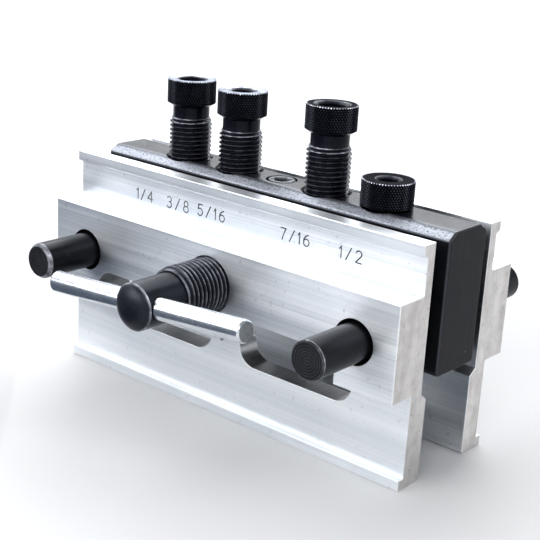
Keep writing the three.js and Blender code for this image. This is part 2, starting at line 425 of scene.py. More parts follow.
def make_mesh(name, places, faces, sharp=30):
    mesh = bpy.data.meshes.new(name)
    mesh.from_pydata([Vector(p) * MM for p in places], [], faces)
    tidy(mesh)
    smooth(mesh, sharp)
    return mesh


def tidy(mesh, merge=0.0):
    """Turns all faces outwards, after merging points that are closer than merge."""
    bm = bmesh.new()
    bm.from_mesh(mesh)
    if merge:
        bmesh.ops.remove_doubles(bm, verts=bm.verts, dist=merge * MM)
        bmesh.ops.dissolve_degenerate(bm, edges=bm.edges, dist=merge * MM)
    bmesh.ops.recalc_face_normals(bm, faces=bm.faces)
    bm.to_mesh(mesh)
    bm.free()


def shown(name, mesh, materials, node, body):
    """Shows a mesh in place of a CAD node."""
    obj = bpy.data.objects.new(name, mesh)
    bpy.context.scene.collection.objects.link(obj)
    for material in materials:
        mesh.materials.append(material)
    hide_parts(node)
    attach(obj, body)
    return obj


def settle(obj):
    """Applies the modifiers."""
    graph = bpy.context.evaluated_depsgraph_get()
    graph.update()
    final = obj.evaluated_get(graph)
    mesh = bpy.data.meshes.new_from_object(final, preserve_all_data_layers=True, depsgraph=graph)
    obj.modifiers.clear()
    obj.data = mesh


def carve(obj, cutters):
    """Subtracts meshes from obj."""
    group = bpy.data.collections.new("cutters")
    bpy.context.scene.collection.children.link(group)
    for i, mesh in enumerate(cutters):
        group.objects.link(bpy.data.objects.new(f"cutter_{i}", mesh))
    cut = obj.modifiers.new("cut", "BOOLEAN")
    cut.operation = "DIFFERENCE"
    cut.solver = "EXACT"
    cut.operand_type = "COLLECTION"
    cut.collection = group
    settle(obj)
    for cutter in list(group.objects):
        bpy.data.objects.remove(cutter)
    bpy.data.collections.remove(group)


def round_edges(obj, width, segments=2, angle=30):
    """Rounds the edges sharper than angle, and gives them the second material, a lighter finish that paints a
    highlight along the edges.
    """
    bevel = obj.modifiers.new("edges", "BEVEL")
    bevel.width = width * MM
    bevel.segments = segments
    bevel.limit_method = "ANGLE"
    bevel.angle_limit = math.radians(angle)
    bevel.material = 1
    bevel.miter_outer = "MITER_ARC"
    settle(obj)


def flat_normals(obj, sharp=40):
    """Keeps large faces flat in shading while the narrow rounded edges turn smoothly."""
    smooth(obj.data, sharp)
    weighted = obj.modifiers.new("normals", "WEIGHTED_NORMAL")
    weighted.mode = "FACE_AREA"
    weighted.weight = 100
    weighted.keep_sharp = True
    settle(obj)


def paint(obj, choose, kept=None):
    """Gives each face the material that choose(centre in mm, normal) returns. A face stays as it is where
    that is None, or where it has the material kept."""
    slots = list(obj.data.materials)
    for face in obj.data.polygons:
        material = choose(face.center / MM, face.normal)
        if material and slots[face.material_index] != kept:
            face.material_index = slots.index(material)


def arc(cx, cz, rx, rz, start, end, steps=14):
    """Points of an ellipse's arc, from start to end in degrees."""
    points = []
    for i in range(steps + 1):
        a = math.radians(start + (end - start) * i / steps)
        points.append((cx + rx * math.cos(a), cz + rz * math.sin(a)))
    return points


def prism(name, outline, low, high, along="X"):
    """Extrudes a closed outline, of (y, z) along X or of (x, z) along Y."""
    places = []
    for h in (low, high):
        places += [(h, u, v) if along == "X" else (u, h, v) for u, v in outline]
    n = len(outline)
    faces = [(i, (i + 1) % n, n + (i + 1) % n, n + i) for i in range(n)]
    faces += [tuple(range(n)), tuple(range(2 * n - 1, n - 1, -1))]
    return make_mesh(name, places, faces)


def bore(r, low, high, place):
    """Cutter for a round hole through the metal from low to high."""
    t = Turning()
    t.tip(low - REACH)
    t.ring(r, low - REACH)
    t.ring(r, high + REACH)
    t.tip(high + REACH)
    return t.mesh("bore", place)


# ---------------------------------------------------------------- materials

class Finish:
    """A Principled material with helpers for its procedural nodes. Coordinates are metres on the piece."""

    def __init__(self, name, **constants):
        self.material = bpy.data.materials.new(name)
        self.material.use_nodes = True
        self.tree = self.material.node_tree
        self.shader = self.tree.nodes["Principled BSDF"]
        for socket, value in constants.items():
            self.shader.inputs[socket.replace("_", " ")].default_value = value
        self.place = self.add("ShaderNodeTexCoord").outputs["Object"]

    def add(self, kind, links=None, **settings):
        node = self.tree.nodes.new(kind)
        for key, value in settings.items():
            setattr(node, key, value)
        for socket, value in (links or {}).items():
            self.feed(node.inputs[socket], value)
        return node

    def feed(self, socket, value):
        """Links the socket, or sets it. A colour may leave out its alpha."""
        if isinstance(value, bpy.types.NodeSocket):
            self.tree.links.new(value, socket)
        elif isinstance(socket.default_value, float):
            socket.default_value = value
        else:
            socket.default_value = (tuple(value) + (1.0,))[:len(socket.default_value)]

    def noise(self, scale, detail, rough, turn=None):
        """scale is per metre, along X, Y and Z, after turning the coordinates."""
        place = self.place
        if turn:
            place = self.add("ShaderNodeMapping", {"Vector": place, "Rotation": turn}).outputs[0]
        place = self.add("ShaderNodeMapping", {"Vector": place, "Scale": scale}).outputs[0]
        links = {"Vector": place, "Scale": 1.0, "Detail": detail, "Roughness": rough}
        return self.add("ShaderNodeTexNoise", links).outputs["Fac"]

    def ramp(self, value, *stops):
        """stops are (place, grey or colour)."""
        node = self.add("ShaderNodeValToRGB", {"Fac": value})
        elements = node.color_ramp.elements
        while len(elements) < len(stops):
            elements.new(0.5)
        for element, (place, colour) in zip(elements, stops):
            element.position = place
            if not isinstance(colour, tuple):
                colour = (colour,) * 3
            element.color = colour + (1.0,)
        return node.outputs["Color"]

    def math(self, operation, a, b=0.0, clamp=False):
        return self.add("ShaderNodeMath", {0: a, 1: b}, operation=operation, use_clamp=clamp).outputs[0]

    def mix(self, factor, a, b):
        node = self.add("ShaderNodeMix", data_type="RGBA")
        self.feed(node.inputs["Factor"], factor)
        self.feed(node.inputs[6], a)
        self.feed(node.inputs[7], b)
        return node.outputs[2]

    def mark(self, name):
        """A value that the points carry: wear, end or radius."""
        return self.add("ShaderNodeAttribute", attribute_name=name).outputs["Fac"]

    def axis(self, name):
        return self.add("ShaderNodeSeparateXYZ", {"Vector": self.place}).outputs[name]

    def set(self, **links):
        for socket, value in links.items():
            self.feed(self.shader.inputs[socket.replace("_", " ")], value)

    def bump(self, height, depth, under=None):
        """depth is the height of the relief in millimetres."""
        links = {"Height": height, "Distance": depth * MM, "Strength": 1.0}
        if under:
            links["Normal"] = under
        return self.add("ShaderNodeBump", links).outputs[0]


def aluminium(name, grain, dark, light, rough, relief, cloud=28, mottle=0.35, pitted=0.66):
    """grain is the noise scale along X, Y and Z, small along the brushing. cloud and mottle are the scale and
    strength of the blotches, and a higher pitted leaves fewer pits."""
    f = Finish(name, Metallic=1.0, Anisotropic=0.6)
    f.set(Tangent=f.add("ShaderNodeTangent", direction_type="RADIAL", axis="X").outputs[0])
    fine = f.noise(grain, 4, 0.6)
    broad = f.noise(tuple(s * 0.09 for s in grain), 3, 0.5)
    cloudy = f.noise((cloud, cloud, cloud), 3, 0.5)
    cuts = f.noise((60, 60, 2600), 2, 0.5, turn=(0.5, 0.35, 0.0))
    cross = f.noise((2200, 90, 90), 2, 0.5, turn=(0.2, 0.6, 0.9))
    pits = f.ramp(f.noise((620, 620, 620), 2, 0.5), (pitted, 0.0), (pitted + 0.08, 1.0))
    tone = f.math("ADD", f.math("MULTIPLY", fine, 0.45), f.math("MULTIPLY", broad, 0.55))
    tone = f.math("ADD", tone, f.math("MULTIPLY", f.math("SUBTRACT", cloudy, 0.5), mottle))
    lines = f.math("MAXIMUM", f.ramp(cuts, (0.72, 0.0), (0.76, 1.0)), f.ramp(cross, (0.73, 0.0), (0.77, 1.0)))
    lines = f.math("MULTIPLY", lines, 0.5)
    colour = f.mix(f.ramp(tone, (0.36, 0.0), (0.64, 1.0)), dark, light)
    colour = f.mix(f.math("MULTIPLY", pits, 0.35), colour, tuple(c * 0.6 for c in dark))
    f.set(Base_Color=colour)
    rougher = f.math("ADD", f.math("MULTIPLY", tone, 0.22), f.math("MULTIPLY", lines, 0.12))
    f.set(Roughness=f.math("ADD", rougher, rough - 0.11, clamp=True))
    height = f.math("SUBTRACT", f.math("ADD", fine, f.math("MULTIPLY", broad, 0.6)), lines)
    height = f.math("SUBTRACT", height, f.math("MULTIPLY", pits, 0.8))
    f.set(Normal=f.bump(height, relief))
    return f.material


# Distance in metres between the rings that the lathe leaves on a faced end
RING_SPACING = 0.85 * MM


def black_oxide(name, base, sheen, rough, grain, relief, ior, worn=(0.32, 0.31, 0.3), rub=0.6, power=2.5,
                speckle=0.0, fade=None, dots=0.0):
    """base and sheen are the black's two tones, and worn is the bare metal under it. That shows where the
    wear is, the more of it the higher rub and the lower power. speckle is how bare the spots all over a
    face are, and fade the distances from the middle plane, in millimetres, between which they set in. dots
    is how bare the few nicks are."""
    f = Finish(name, Metallic=0.0, IOR=ior, Specular_Tint=(0.8, 0.88, 1.0, 1.0))
    fine = f.noise(grain, 4, 0.65)
    cloudy = f.noise((140, 140, 140), 4, 0.6)
    tone = f.math("ADD", f.math("MULTIPLY", fine, 0.5), f.math("MULTIPLY", cloudy, 0.5))
    colour = f.mix(f.ramp(tone, (0.35, 0.0), (0.68, 1.0)), base, sheen)
    # The wear mark is rubbed bare metal, and at the cut ends of threads also a painted glint.
    rubbed = f.math("POWER", f.mark("wear"), power)
    patchy = f.ramp(f.noise((420, 420, 420), 3, 0.6), (0.38, 0.25), (0.62, 1.0))
    rubbed = f.math("MULTIPLY", f.math("MULTIPLY", rubbed, patchy), rub, clamp=True)
    if speckle:
        spots = f.noise((1300, 1900, 1900), 3, 0.7)
        if fade:
            away = f.math("SUBTRACT", f.math("ABSOLUTE", f.axis("Y")), fade[0] * MM)
            away = f.math("DIVIDE", away, (fade[1] - fade[0]) * MM, clamp=True)
            spots = f.math("ADD", spots, f.math("MULTIPLY", f.math("SUBTRACT", away, 1.0), 0.4))
        spots = f.ramp(spots, (0.36, 0.0), (0.5, 1.0))
        rubbed = f.math("MAXIMUM", rubbed, f.math("MULTIPLY", spots, speckle))
    if dots:
        nicks = f.ramp(f.noise((700, 700, 500), 2, 0.6), (0.74, 0.0), (0.77, 1.0))
        rubbed = f.math("MAXIMUM", rubbed, f.math("MULTIPLY", nicks, dots))
    rings = f.math("SINE", f.math("MULTIPLY", f.mark("radius"), TURN / RING_SPACING))
    rings = f.math("MULTIPLY", f.math("MULTIPLY", rings, f.mark("end")), f.noise((500, 500, 500), 2, 0.5))
    rubbed = f.math("ADD", rubbed, f.math("MULTIPLY", rings, 0.055), clamp=True)
    f.set(Base_Color=f.mix(rubbed, colour, worn), Metallic=rubbed)
    matte = f.math("MULTIPLY", f.mark("end"), f.math("SUBTRACT", 1.0, rubbed, clamp=True))
    matte = f.math("ADD", f.math("MULTIPLY", matte, 0.25), rough - 0.15)
    f.set(Roughness=f.math("ADD", f.math("MULTIPLY", tone, 0.3), matte, clamp=True))
    f.set(Normal=f.bump(rings, 0.01, under=f.bump(fine, relief)))
    return f.material


def polished_steel(name):
    f = Finish(name, Metallic=1.0)
    smear = f.noise((60, 900, 900), 3, 0.5)
    cloudy = f.noise((150, 500, 500), 4, 0.6)
    dust = f.ramp(f.noise((1100, 1500, 1500), 3, 0.7), (0.56, 0.0), (0.66, 1.0))
    ends = f.mark("end")
    colour = f.mix(f.ramp(cloudy, (0.35, 0.0), (0.7, 1.0)), (0.6, 0.63, 0.67), (0.8, 0.82, 0.85))
    colour = f.mix(f.math("MULTIPLY", dust, 0.25), colour, (0.45, 0.47, 0.5))
    colour = f.mix(ends, colour, f.mix(cloudy, (0.26, 0.28, 0.3), (0.48, 0.5, 0.51)))
    f.set(Base_Color=colour)
    rough = f.math("ADD", f.math("MULTIPLY", smear, 0.1), 0.15)
    rough = f.math("ADD", rough, f.math("MULTIPLY", dust, 0.06))
    f.set(Roughness=f.math("ADD", rough, f.math("MULTIPLY", ends, 0.3)))
    f.set(Normal=f.bump(smear, 0.0012))
    return f.material


LONG_GRAIN = (9, 2600, 2600)
jaw_long = aluminium("jaw_extruded", LONG_GRAIN, (0.6, 0.635, 0.675), (0.82, 0.84, 0.865), 0.4, 0.01)
# Lighter copy of the extruded finish for the recessed web under the lip: painted light, standing for the
# light the web catches off the ledge below.
jaw_web_lit = aluminium("jaw_recess_lit", LONG_GRAIN, (0.65, 0.68, 0.72), (0.91, 0.92, 0.94), 0.46, 0.011)
jaw_low = aluminium("jaw_lower_web", LONG_GRAIN, (0.69, 0.725, 0.76), (0.8, 0.825, 0.85), 0.33, 0.006)
# Darker copy of the extruded finish for the top of the foot: painted shade.
jaw_foot_shaded = aluminium("jaw_foot_top_shaded", LONG_GRAIN, (0.55, 0.575, 0.6), (0.66, 0.675, 0.69), 0.42, 0.008)
# Lighter finish on the rounded edges of the jaws: partly worn edges, partly a painted highlight along them.
jaw_edge_worn_and_lit = aluminium("jaw_edge_worn_and_lit", LONG_GRAIN, (0.72, 0.735, 0.75), (0.88, 0.885, 0.895), 0.4, 0.004)
jaw_end = aluminium("jaw_saw_cut", (1500, 2400, 400), (0.55, 0.53, 0.515), (0.74, 0.72, 0.705), 0.44, 0.02,
                    cloud=240, mottle=0.45, pitted=0.64)
jaw_wall = aluminium("jaw_milled", (900, 60, 1300), (0.5, 0.51, 0.525), (0.7, 0.705, 0.71), 0.36, 0.012)
jaw_groove = aluminium("jaw_engraved", (2000, 2000, 2000), (0.08, 0.08, 0.085), (0.3, 0.3, 0.305), 0.5, 0.006)

FINE_GRAIN = (900, 900, 900)
DARK = (0.004, 0.004, 0.006)
BUSH_DARK = (0.002, 0.002, 0.005)
BUSH_SHEEN = (0.006, 0.006, 0.011)
BARE_STEEL = (0.5, 0.51, 0.55)
BARE_BUSHING = (0.6, 0.615, 0.69)
block_side = black_oxide("block_side", DARK, (0.012, 0.012, 0.014), 0.42, (300, 300, 900), 0.008, 1.35)
block_top = black_oxide("block_top", (0.005, 0.005, 0.008), (0.02, 0.021, 0.028), 0.24, (40, 1500, 1500),
                        0.004, 1.52, worn=(0.5, 0.52, 0.58), speckle=0.7, fade=(5.4, 8.2))
# Lighter black with dense bare speckles for the top chamfers: partly real wear, partly a painted highlight on
# the band.
block_chamfer_worn_and_lit = black_oxide("block_chamfer_worn_and_lit", (0.03, 0.03, 0.036), (0.08, 0.08, 0.09), 0.42, (60, 1500, 1500),
                            0.006, 1.9, worn=(0.4, 0.42, 0.47), speckle=0.88, fade=(6.2, 7.6))
# Lighter black for the rounded edges of the block: a painted highlight along them.
block_edge_lit = black_oxide("block_edge_lit", (0.01, 0.01, 0.012), (0.035, 0.035, 0.037), 0.34, (500, 1500, 1500),
                         0.006, 1.6)
block_end = black_oxide("block_end", (0.001, 0.001, 0.002), (0.018, 0.016, 0.017), 0.44, (1500, 1400, 34),
                        0.06, 1.33, dots=0.7)
pin_black = black_oxide("pin_black", DARK, (0.012, 0.011, 0.013), 0.32, (1400, 120, 1400), 0.004, 1.33,
                        BARE_STEEL, rub=1.0, power=3.5, dots=0.25)
screw_black = black_oxide("screw_black", (0.004, 0.004, 0.008), (0.013, 0.013, 0.021), 0.37,
                          (1400, 500, 1400), 0.004, 1.42, (0.46, 0.47, 0.52), rub=0.85, power=5, dots=0.3)
set_black = black_oxide("set_screw_black", DARK, (0.015, 0.015, 0.019), 0.28, FINE_GRAIN, 0.006, 1.42,
                        BARE_STEEL, rub=0.85)
bushing_black = black_oxide("bushing_black", BUSH_DARK, BUSH_SHEEN, 0.24, FINE_GRAIN, 0.003, 1.31,
                            BARE_BUSHING, rub=1.0)
bushing_face = black_oxide("bushing_face", BUSH_DARK, BUSH_SHEEN, 0.3, FINE_GRAIN, 0.003, 1.06,
                           BARE_BUSHING, rub=1.0)
bar_bright = polished_steel("bar_bright")


# ---------------------------------------------------------------- jaws

def jaw_outline(side):
    """Closed outline of (y, z). side is 1 for the rear jaw and -1 for the front jaw."""
    web = JAW_Y + WEB_T
    low = JAW_Y + LOWER_WEB_T
    pad = JAW_Y - PAD_STEP
    fillet = arc(web + LEDGE_FILLET, LEDGE_Z + LEDGE_FILLET, LEDGE_FILLET, LEDGE_FILLET, 180, 270, 5)
    points = [
        (JAW_Y, JAW_TOP_Z),
        (JAW_Y + LIP_T, JAW_TOP_Z),
        (JAW_Y + LIP_T, LIP_LOW_Z),
        (web, LIP_LOW_Z - LIP_UNDERCUT),
        *fillet,
        (JAW_Y + BOSS_T, LEDGE_Z),
        (JAW_Y + BOSS_T, BOSS_LOW_Z),
        (low, BOSS_LOW_Z),
        (low, FOOT_Z + FOOT_H),
        (JAW_Y + FOOT_T, FOOT_Z + FOOT_H),
        (JAW_Y + FOOT_T, FOOT_Z),
        (pad + PAD_CHAMFER, FOOT_Z),
        (pad, FOOT_Z + PAD_CHAMFER),
        (pad, PAD_TOP_Z),
        (JAW_Y, PAD_SLOPE_Z),
    ]
    return [(side * y, z) for y, z in points]


def window_cutter(hand):
    near = JAW_X + hand * WINDOW_INNER_X
    far = JAW_X + hand * WINDOW_OUTER_X
    x0, x1 = min(near, far) + WINDOW_R, max(near, far) - WINDOW_R
    z0, z1 = WINDOW_LOW_Z + WINDOW_R, WINDOW_TOP_Z - WINDOW_R
    outline = []
    for quarter, (x, z) in enumerate(((x1, z1), (x0, z1), (x0, z0), (x1, z0))):
        outline += arc(x, z, WINDOW_R, WINDOW_R, 90 * quarter, 90 * (quarter + 1), 16)
    return prism("window", outline, -WINDOW_REACH, WINDOW_REACH, along="Y")


# Single-stroke figures in a box 1 high. Each is (width, strokes).
FIGURES = {
    "1": (0.24, [[(0.02, 0.76), (0.2, 1.0)], [(0.2, 1.0), (0.2, 0.0)]]),
    "2": (0.62, [arc(0.31, 0.72, 0.28, 0.28, 165, -20) + [(0.5, 0.52), (0.02, 0.0)],
                 [(0.02, 0.0), (0.62, 0.0)]]),
    "3": (0.62, [arc(0.3, 0.76, 0.26, 0.24, 150, -90), arc(0.3, 0.27, 0.3, 0.27, 90, -155, 18)]),
    "4": (0.66, [[(0.48, 0.0), (0.48, 1.0)], [(0.48, 1.0), (0.0, 0.28)], [(0.0, 0.28), (0.66, 0.28)]]),
    "5": (0.62, [[(0.56, 1.0), (0.12, 1.0)], [(0.12, 1.0), (0.06, 0.56)],
                 [(0.06, 0.56)] + arc(0.3, 0.32, 0.3, 0.32, 115, -150, 18)]),
    "6": (0.62, [arc(0.31, 0.3, 0.29, 0.3, 0, 360, 24),
                 [(0.5, 0.98)] + arc(0.46, 0.4, 0.44, 0.5, 118, 185, 8)]),
    "7": (0.62, [[(0.0, 1.0), (0.6, 1.0)], [(0.6, 1.0), (0.36, 0.52), (0.22, 0.0)]]),
    "8": (0.62, [arc(0.31, 0.76, 0.24, 0.24, 0, 360, 22), arc(0.31, 0.27, 0.29, 0.27, 0, 360, 24)]),
    "/": (0.5, [[(0.0, -0.04), (0.5, 1.04)]]),
}


def groove(stroke, surface):
    """Cutter for a V groove along a stroke of (x, z) points, in metal on the +Y side of the surface."""
    above = 0.2
    wide = STROKE_HALF_W * (1 + above / STROKE_DEPTH)
    closed = math.dist(stroke[0], stroke[-1]) < 1e-6
    path = [Vector(p) for p in stroke]
    if closed:
        path = path[:-1]
    n = len(path)
    sections = []
    for i, p in enumerate(path):
        if closed:
            before, after = path[i - 1], path[(i + 1) % n]
        else:
            before, after = path[max(i - 1, 0)], path[min(i + 1, n - 1)]
        along = (after - before).normalized()
        side = Vector((-along.y, along.x)) * wide
        sections.append((p + side, p - side, p, STROKE_DEPTH))
    if not closed:
        first = (path[1] - path[0]).normalized()
        last = (path[-1] - path[-2]).normalized()
        for at, direction, end in ((path[0], -first, 0), (path[-1], last, len(sections) + 1)):
            tip = at + direction * STROKE_HALF_W
            side = Vector((-direction.y, direction.x)) * STROKE_TIP_HALF_W * (1 if end else -1)
            sections.insert(end, (tip + side, tip - side, tip, 0.0))
    places, faces = [], []
    for left, right, low, deep in sections:
        places.append((left.x, surface - above, left.y))
        places.append((right.x, surface - above, right.y))
        places.append((low.x, surface + deep, low.y))
    count = len(sections)
    for i in range(count if closed else count - 1):
        a, b = 3 * i, 3 * ((i + 1) % count)
        for k in range(3):
            m = (k + 1) % 3
            faces.append((a + k, a + m, b + m, b + k))
    if not closed:
        faces += [(0, 1, 2), (3 * count - 3, 3 * count - 1, 3 * count - 2)]
    return make_mesh("groove", places, faces)


def label_cutters():
    """The figures of each label, spread over its width."""
    cutters = []
    surface = -(JAW_Y + WEB_T)
    for text, x, z, width in LABELS:
        widths = [FIGURES[c][0] * DIGIT_H for c in text]
        space = (width - sum(widths)) / (len(text) - 1)
        left = x - width / 2
        for c, w in zip(text, widths):
            for stroke in FIGURES[c][1]:
                points = [(left + u * DIGIT_H, z + (v - 0.5) * DIGIT_H) for u, v in stroke]
                cutters.append(groove(points, surface))
            left += w + space
    return cutters


def jaw(node, side, screw_r):
    """side is 1 for the rear jaw and -1 for the front jaw."""
    name = f"{node}_detail"
    mesh = prism(name, jaw_outline(side), JAW_X - JAW_L / 2, JAW_X + JAW_L / 2)
    materials = [jaw_long, jaw_edge_worn_and_lit, jaw_end, jaw_wall, jaw_groove, jaw_web_lit, jaw_low, jaw_foot_shaded]
    obj = shown(name, mesh, materials, node, node)
    low, high = sorted((side * (JAW_Y - PAD_STEP), side * (JAW_Y + BOSS_T)))
    cutters = [window_cutter(-1), window_cutter(1)]
    for hand in (-1, 1):
        cutters.append(bore(PIN_HOLE_R, low, high, along_y(JAW_X + hand * PIN_X, PIN_Z)))
    cutters.append(bore(screw_r, low, high, along_y(JAW_X, SCREW_Z)))
    carve(obj, cutters)
    tidy(obj.data, merge=0.002)
    round_edges(obj, 0.3)
    if side < 0:
        carve(obj, label_cutters())
    web = JAW_Y + WEB_T
    foot_top = FOOT_Z + FOOT_H

    def finish(centre, normal):
        x, y, z = centre
        across = abs(x - JAW_X)
        outward = side * normal.y > 0.9
        if abs(normal.x) > 0.95 and abs(across - JAW_L / 2) < 0.1:
            return jaw_end
        # The recessed web gets the lighter copy of the finish, painted light.
        if outward and LEDGE_Z < z < LIP_LOW_Z and abs(y) > web - 0.01:
            return jaw_web_lit
        if outward and foot_top < z < BOSS_LOW_Z and abs(y) > JAW_Y + LOWER_WEB_T - 0.01:
            return jaw_low
        # The top of the foot gets the darker copy of the finish, painted shade.
        if normal.z > 0.9 and abs(z - foot_top) < 0.1:
            return jaw_foot_shaded
        if side < 0 and LEDGE_Z + 1.5 < z < LIP_LOW_Z - 1.5 and 0.004 < web + y < 0.35:
            return jaw_groove
        window = WINDOW_LOW_Z - 0.1 < z < WINDOW_TOP_Z + 0.1 and across < WINDOW_OUTER_X + 0.1
        pin_hole = math.dist((across, z), (PIN_X, PIN_Z)) < PIN_HOLE_R + 0.3
        screw_hole = math.dist((across, z), (0, SCREW_Z)) < screw_r + 0.3
        boss_underside = abs(z - BOSS_LOW_Z) < 0.01
        if abs(normal.y) < 0.4 and (window or pin_hole or screw_hole) and not boss_underside:
            return jaw_wall

    paint(obj, finish, kept=jaw_edge_worn_and_lit)
    flat_normals(obj)


jaw("front_jaw", -1, SCREW_FRONT_R + SCREW_PLAY)
jaw("rear_jaw", 1, SCREW_REAR_R + SCREW_PLAY)


# ---------------------------------------------------------------- drill block

def top_hole(x, bottom, steps, mouth):
    """Cutter for an upright hole, with a countersink at the block's top. steps are (radius, top), from the
    bottom up."""
    t = Turning()
    t.tip(bottom)
    h = bottom
    for r, top in steps:
        t.ring(r, h)
        t.ring(r, top)
        h = top
    t.ring(r + mouth + REACH, BLOCK_H + REACH)
    t.tip(BLOCK_H + REACH)
    return t.mesh("hole", upright(x))


def block():
    half = BLOCK_W / 2
    outline = [
        (-half + BLOCK_LOW_CHAMFER, 0),
        (half - BLOCK_LOW_CHAMFER, 0),
        (half, BLOCK_LOW_CHAMFER),
        (half, BLOCK_H - BLOCK_TOP_CHAMFER_Z),
        (half - BLOCK_TOP_CHAMFER_Y, BLOCK_H),
        (-half + BLOCK_TOP_CHAMFER_Y, BLOCK_H),
        (-half, BLOCK_H - BLOCK_TOP_CHAMFER_Z),
        (-half, BLOCK_LOW_CHAMFER),
    ]
    mesh = prism("drill_block_detail", outline, -BLOCK_L / 2, BLOCK_L / 2)
    materials = [block_side, block_edge_lit, block_end, block_top, block_chamfer_worn_and_lit]
    obj = shown("drill_block_detail", mesh, materials, "drill_block", "block")
    round_edges(obj, 0.9, segments=4, angle=25)
    steps = [(DRILL_HOLE_R, DRILL_HOLE_H), (TAPPED_HOLE_R, BLOCK_H - TAPPED_HOLE_MOUTH)]
    cutters = [top_hole(x, -REACH, steps, TAPPED_HOLE_MOUTH) for x, *_ in BUSHINGS]
    for hand in (-1, 1):
        cutters.append(bore(PIN_R + 0.05, -half, half, along_y(JAW_X + hand * PIN_X, PIN_Z)))
    cutters.append(bore(SCREW_REAR_R + SCREW_PLAY, -half, half, along_y(JAW_X, SCREW_Z)))
    carve(obj, cutters)
    steps = [(DOG_HOLE_R, SET_HOLE_SEAT_Z), (SET_HOLE_R, BLOCK_H - SET_HOLE_MOUTH)]
    carve(obj, [top_hole(0, SET_HOLE_LOW_Z, steps, SET_HOLE_MOUTH)])
    tidy(obj.data, merge=0.002)
    round_edges(obj, 0.25)

    def finish(centre, normal):
        x, y, z = centre
        if abs(normal.x) > 0.95 and abs(abs(x) - BLOCK_L / 2) < 0.1:
            return block_end
        if normal.z > 0.985 and z > BLOCK_H - 0.1:
            return block_top
        beside = abs(y) > half - BLOCK_TOP_CHAMFER_Y - 0.6 and z > BLOCK_H - BLOCK_TOP_CHAMFER_Z - 0.7
        # The chamfer band gets the lighter finish, in part a painted highlight.
        if normal.z > 0.5 and abs(normal.x) < 0.2 and beside:
            return block_chamfer_worn_and_lit

    paint(obj, finish)
    flat_normals(obj)


block()


# ---------------------------------------------------------------- turned pieces

def guide_pin(node, hand, fall, run, rubbed):
    """fall and run are the size of the chamfer across and along the pin, and rubbed is its wear."""
    name = f"{node}_detail"
    profile = [
        (PIN_R - fall - 0.2, 0.0, 0.3, 1.0),
        (PIN_R - fall, 0.0, 0.5, 1.0),
        (PIN_R - fall + 0.05, 0.03, rubbed, 0.0),
        (PIN_R - 0.12, run - 0.12, rubbed, 0.0),
        (PIN_R - 0.04, run, 1.0, 0.0),
        (PIN_R, run + 0.1, 1.0, 0.0),
        (PIN_R, run + 0.35, 0.4, 0.0),
        (PIN_R, run + 1.2, 0.0, 0.0),
    ]
    mesh = rod(PIN_FRONT_Y, PIN_REAR_Y, 0.35, profile).mesh(name, along_y(JAW_X + hand * PIN_X, PIN_Z))
    shown(name, mesh, [pin_black], node, "block")


guide_pin("guide_pin_left", -1, fall=0.95, run=1.25, rubbed=0.85)
guide_pin("guide_pin_right", 1, fall=0.5, run=0.5, rubbed=0.6)


def lead_screw():
    t = Turning()
    steps = 16
    t.tip(SCREW_DOME_Y)
    for i in range(1, steps + 1):
        a = SCREW_DOME_ANGLE * i / steps
        r = (SCREW_NECK_R - 0.15) * math.sin(a) / math.sin(SCREW_DOME_ANGLE)
        fall = (1 - math.cos(a)) / (1 - math.cos(SCREW_DOME_ANGLE))
        wear = 1.0 if i == steps else 0.8 if i == steps - 1 else 0.2
        t.ring(r, SCREW_DOME_Y + (SCREW_RIM_Y - SCREW_DOME_Y - 0.1) * fall, wear)
    t.ring(SCREW_NECK_R, SCREW_RIM_Y + 0.1, 1.0)
    t.ring(SCREW_NECK_R, SCREW_RIM_Y + 0.45, 0.2)
    t.ring(SCREW_NECK_R, SCREW_SHOULDER_Y)
    t.ring(SCREW_FRONT_ROOT_R - 0.05, SCREW_SHOULDER_Y, 0.3)

    def front_limit(h):
        return SCREW_FRONT_ROOT_R + min(h - SCREW_SHOULDER_Y, SCREW_FRONT_END_Y - h)

    t.thread(SCREW_SHOULDER_Y, SCREW_FRONT_END_Y, SCREW_PITCH, SCREW_FRONT_R, SCREW_FRONT_ROOT_R, front_limit,
             hand=-1, crest_wear=0.9)
    t.ring(SCREW_REAR_R, SCREW_FRONT_END_Y)
    t.ring(SCREW_REAR_R, -SCREW_GROOVE_HALF)
    t.ring(SCREW_GROOVE_R, -SCREW_GROOVE_HALF)
    t.ring(SCREW_GROOVE_R, SCREW_GROOVE_HALF)
    t.ring(SCREW_REAR_R, SCREW_GROOVE_HALF)
    t.ring(SCREW_REAR_R, SCREW_REAR_START_Y - 0.6)
    t.ring(SCREW_REAR_ROOT_R, SCREW_REAR_START_Y)

    def rear_limit(h):
        return SCREW_REAR_ROOT_R + min(h - SCREW_REAR_START_Y, 1.2 * (SCREW_REAR_END_Y - h))

    t.thread(SCREW_REAR_START_Y, SCREW_REAR_END_Y, SCREW_PITCH, SCREW_REAR_R, SCREW_REAR_ROOT_R, rear_limit)
    t.tip(SCREW_REAR_END_Y)
    mesh = t.mesh("lead_screw_detail", along_y(JAW_X, SCREW_Z))
    obj = shown("lead_screw_detail", mesh, [screw_black], "lead_screw", "screw")
    carve(obj, [bore(BAR_R + 0.2, -SCREW_NECK_R, SCREW_NECK_R, ALONG_BAR)])
    smooth(obj.data)


lead_screw()


def tommy_bar():
    profile = [
        (1.6, 0.0, 1.0, 1.0),
        (BAR_R - BAR_EDGE - 0.05, 0.0, 1.0, 1.0),
        (BAR_R - BAR_EDGE, 0.0, 1.0, 0.0),
        (BAR_R - 0.1, BAR_EDGE - 0.1, 0.6, 0.0),
        (BAR_R, BAR_EDGE + 0.1, 0.2, 0.0),
        (BAR_R, BAR_EDGE + 0.3, 0.0, 0.0),
    ]
    mesh = rod(-BAR_LEFT, BAR_RIGHT, 1.0, profile).mesh("tommy_bar_detail", ALONG_BAR)
    shown("tommy_bar_detail", mesh, [bar_bright], "tommy_bar", "screw")


tommy_bar()


